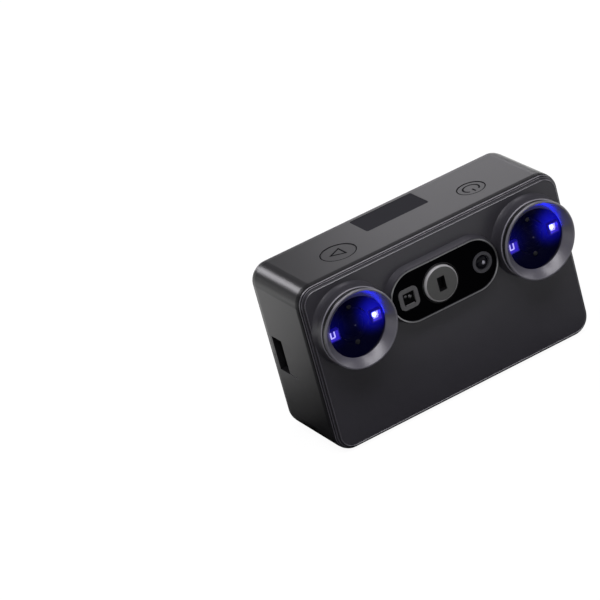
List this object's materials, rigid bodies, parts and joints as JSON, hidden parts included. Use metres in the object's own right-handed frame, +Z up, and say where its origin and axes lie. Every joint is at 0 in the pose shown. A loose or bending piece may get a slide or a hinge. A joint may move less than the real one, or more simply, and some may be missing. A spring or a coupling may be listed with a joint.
{
  "type": "three-d scanner",
  "caption": "Palm-sized hand-held three-d scanner with ringed cameras and a sensor window in front, a touch screen behind, and hinged side covers over the battery and ports.",
  "frame": {"origin": "under the middle of the whole object, on the face that it rests on", "axes": "+Z up; the cameras look along -Y; +X is on the right seen from the front, where the hinged covers are"},
  "size_m": [0.116, 0.0482, 0.0693],
  "materials": {
    "case": "fine-textured charcoal",
    "case_inner": "plain black",
    "gloss_black": "polished black",
    "cover_glass": "dark tinted",
    "screen_glass": "black, polished",
    "bezel": "satin, dark anodised",
    "silver": "circular brushed",
    "frame_line": "satin grey",
    "steel": "bright",
    "lens": "coated",
    "lamp": "blue lamp",
    "board": "solder mask",
    "plate_metal": "plain",
    "module": "black",
    "battery": "wrapped",
    "contact": "plated",
    "flex": "amber film"
  },
  "bodies": {
    "body": {"mid_shell": "case", "front_cover": "case", "rear_cover": "case", "base_plate": "case", "label_plate": "case", "service_plate": "case", "screen_glass": "screen_glass", "display_panel": "module", "chassis": "plate_metal", "main_board": "board", "heat_spreader": "plate_metal", "board_screws": "steel", "optical_bench": "plate_metal", "bench_screws": "steel", "flex_cables": "flex", "left_bezel_ring": "bezel", "right_bezel_ring": "bezel", "left_lens_glass": "cover_glass", "right_lens_glass": "cover_glass", "left_led_board": "board", "right_led_board": "board", "left_leds": "lamp", "right_leds": "lamp", "left_camera": "module", "right_camera": "module", "left_camera_lens": "lens", "right_camera_lens": "lens", "window_frame": "frame_line", "window_panel": "gloss_black", "projector_ring": "silver", "projector_module": "module", "colour_camera": "module", "colour_camera_lens": "lens", "depth_module": "module", "button_board": "board", "button_switches": "module", "status_window": "gloss_black", "status_display": "module", "battery_door_pin": "steel", "battery_pack": "battery", "battery_cradle": "case_inner", "battery_contacts": "contact", "port_cover_pin": "steel", "port_frame": "case_inner", "port_board": "board", "usb_socket": "steel", "card_socket": "steel", "side_port_insert": "case_inner", "side_socket": "steel", "strap_bar": "steel", "lanyard_pin": "steel", "tripod_insert": "steel", "base_screws": "steel"},
    "battery_door": {"battery_door": "case"},
    "battery_latch": {"battery_latch": "case"},
    "port_cover": {"port_cover": "case"},
    "port_latch": {"port_latch": "case"},
    "scan_button": {"scan_button": "case"},
    "power_button": {"power_button": "case"}
  },
  "joints": [
    {"name": "battery_door_hinge", "type": "hinge", "parent": "body", "child": "battery_door", "pos_m": [0.05328, 0.00013, 0.00214], "axis": [0, 1, 0], "range_deg": [0, 100]},
    {"name": "battery_latch_slide", "type": "slide", "parent": "battery_door", "child": "battery_latch", "axis": [0, 0, -1], "range_m": [0, 0.0022]},
    {"name": "port_cover_hinge", "type": "hinge", "parent": "body", "child": "port_cover", "pos_m": [0.057, 0.00052, 0.0448], "axis": [0, 1, 0], "range_deg": [0, 95]},
    {"name": "port_latch_slide", "type": "slide", "parent": "port_cover", "child": "port_latch", "axis": [0, 0, -1], "range_m": [0, 0.001]},
    {"name": "scan_button_press", "type": "slide", "parent": "body", "child": "scan_button", "axis": [0, 0, -1], "range_m": [0, 0.0006], "stiffness_N_per_m": 800, "springref_m": -0.0008},
    {"name": "power_button_press", "type": "slide", "parent": "body", "child": "power_button", "axis": [0, 0, -1], "range_m": [0, 0.0006], "stiffness_N_per_m": 800, "springref_m": -0.0008}
  ]
}
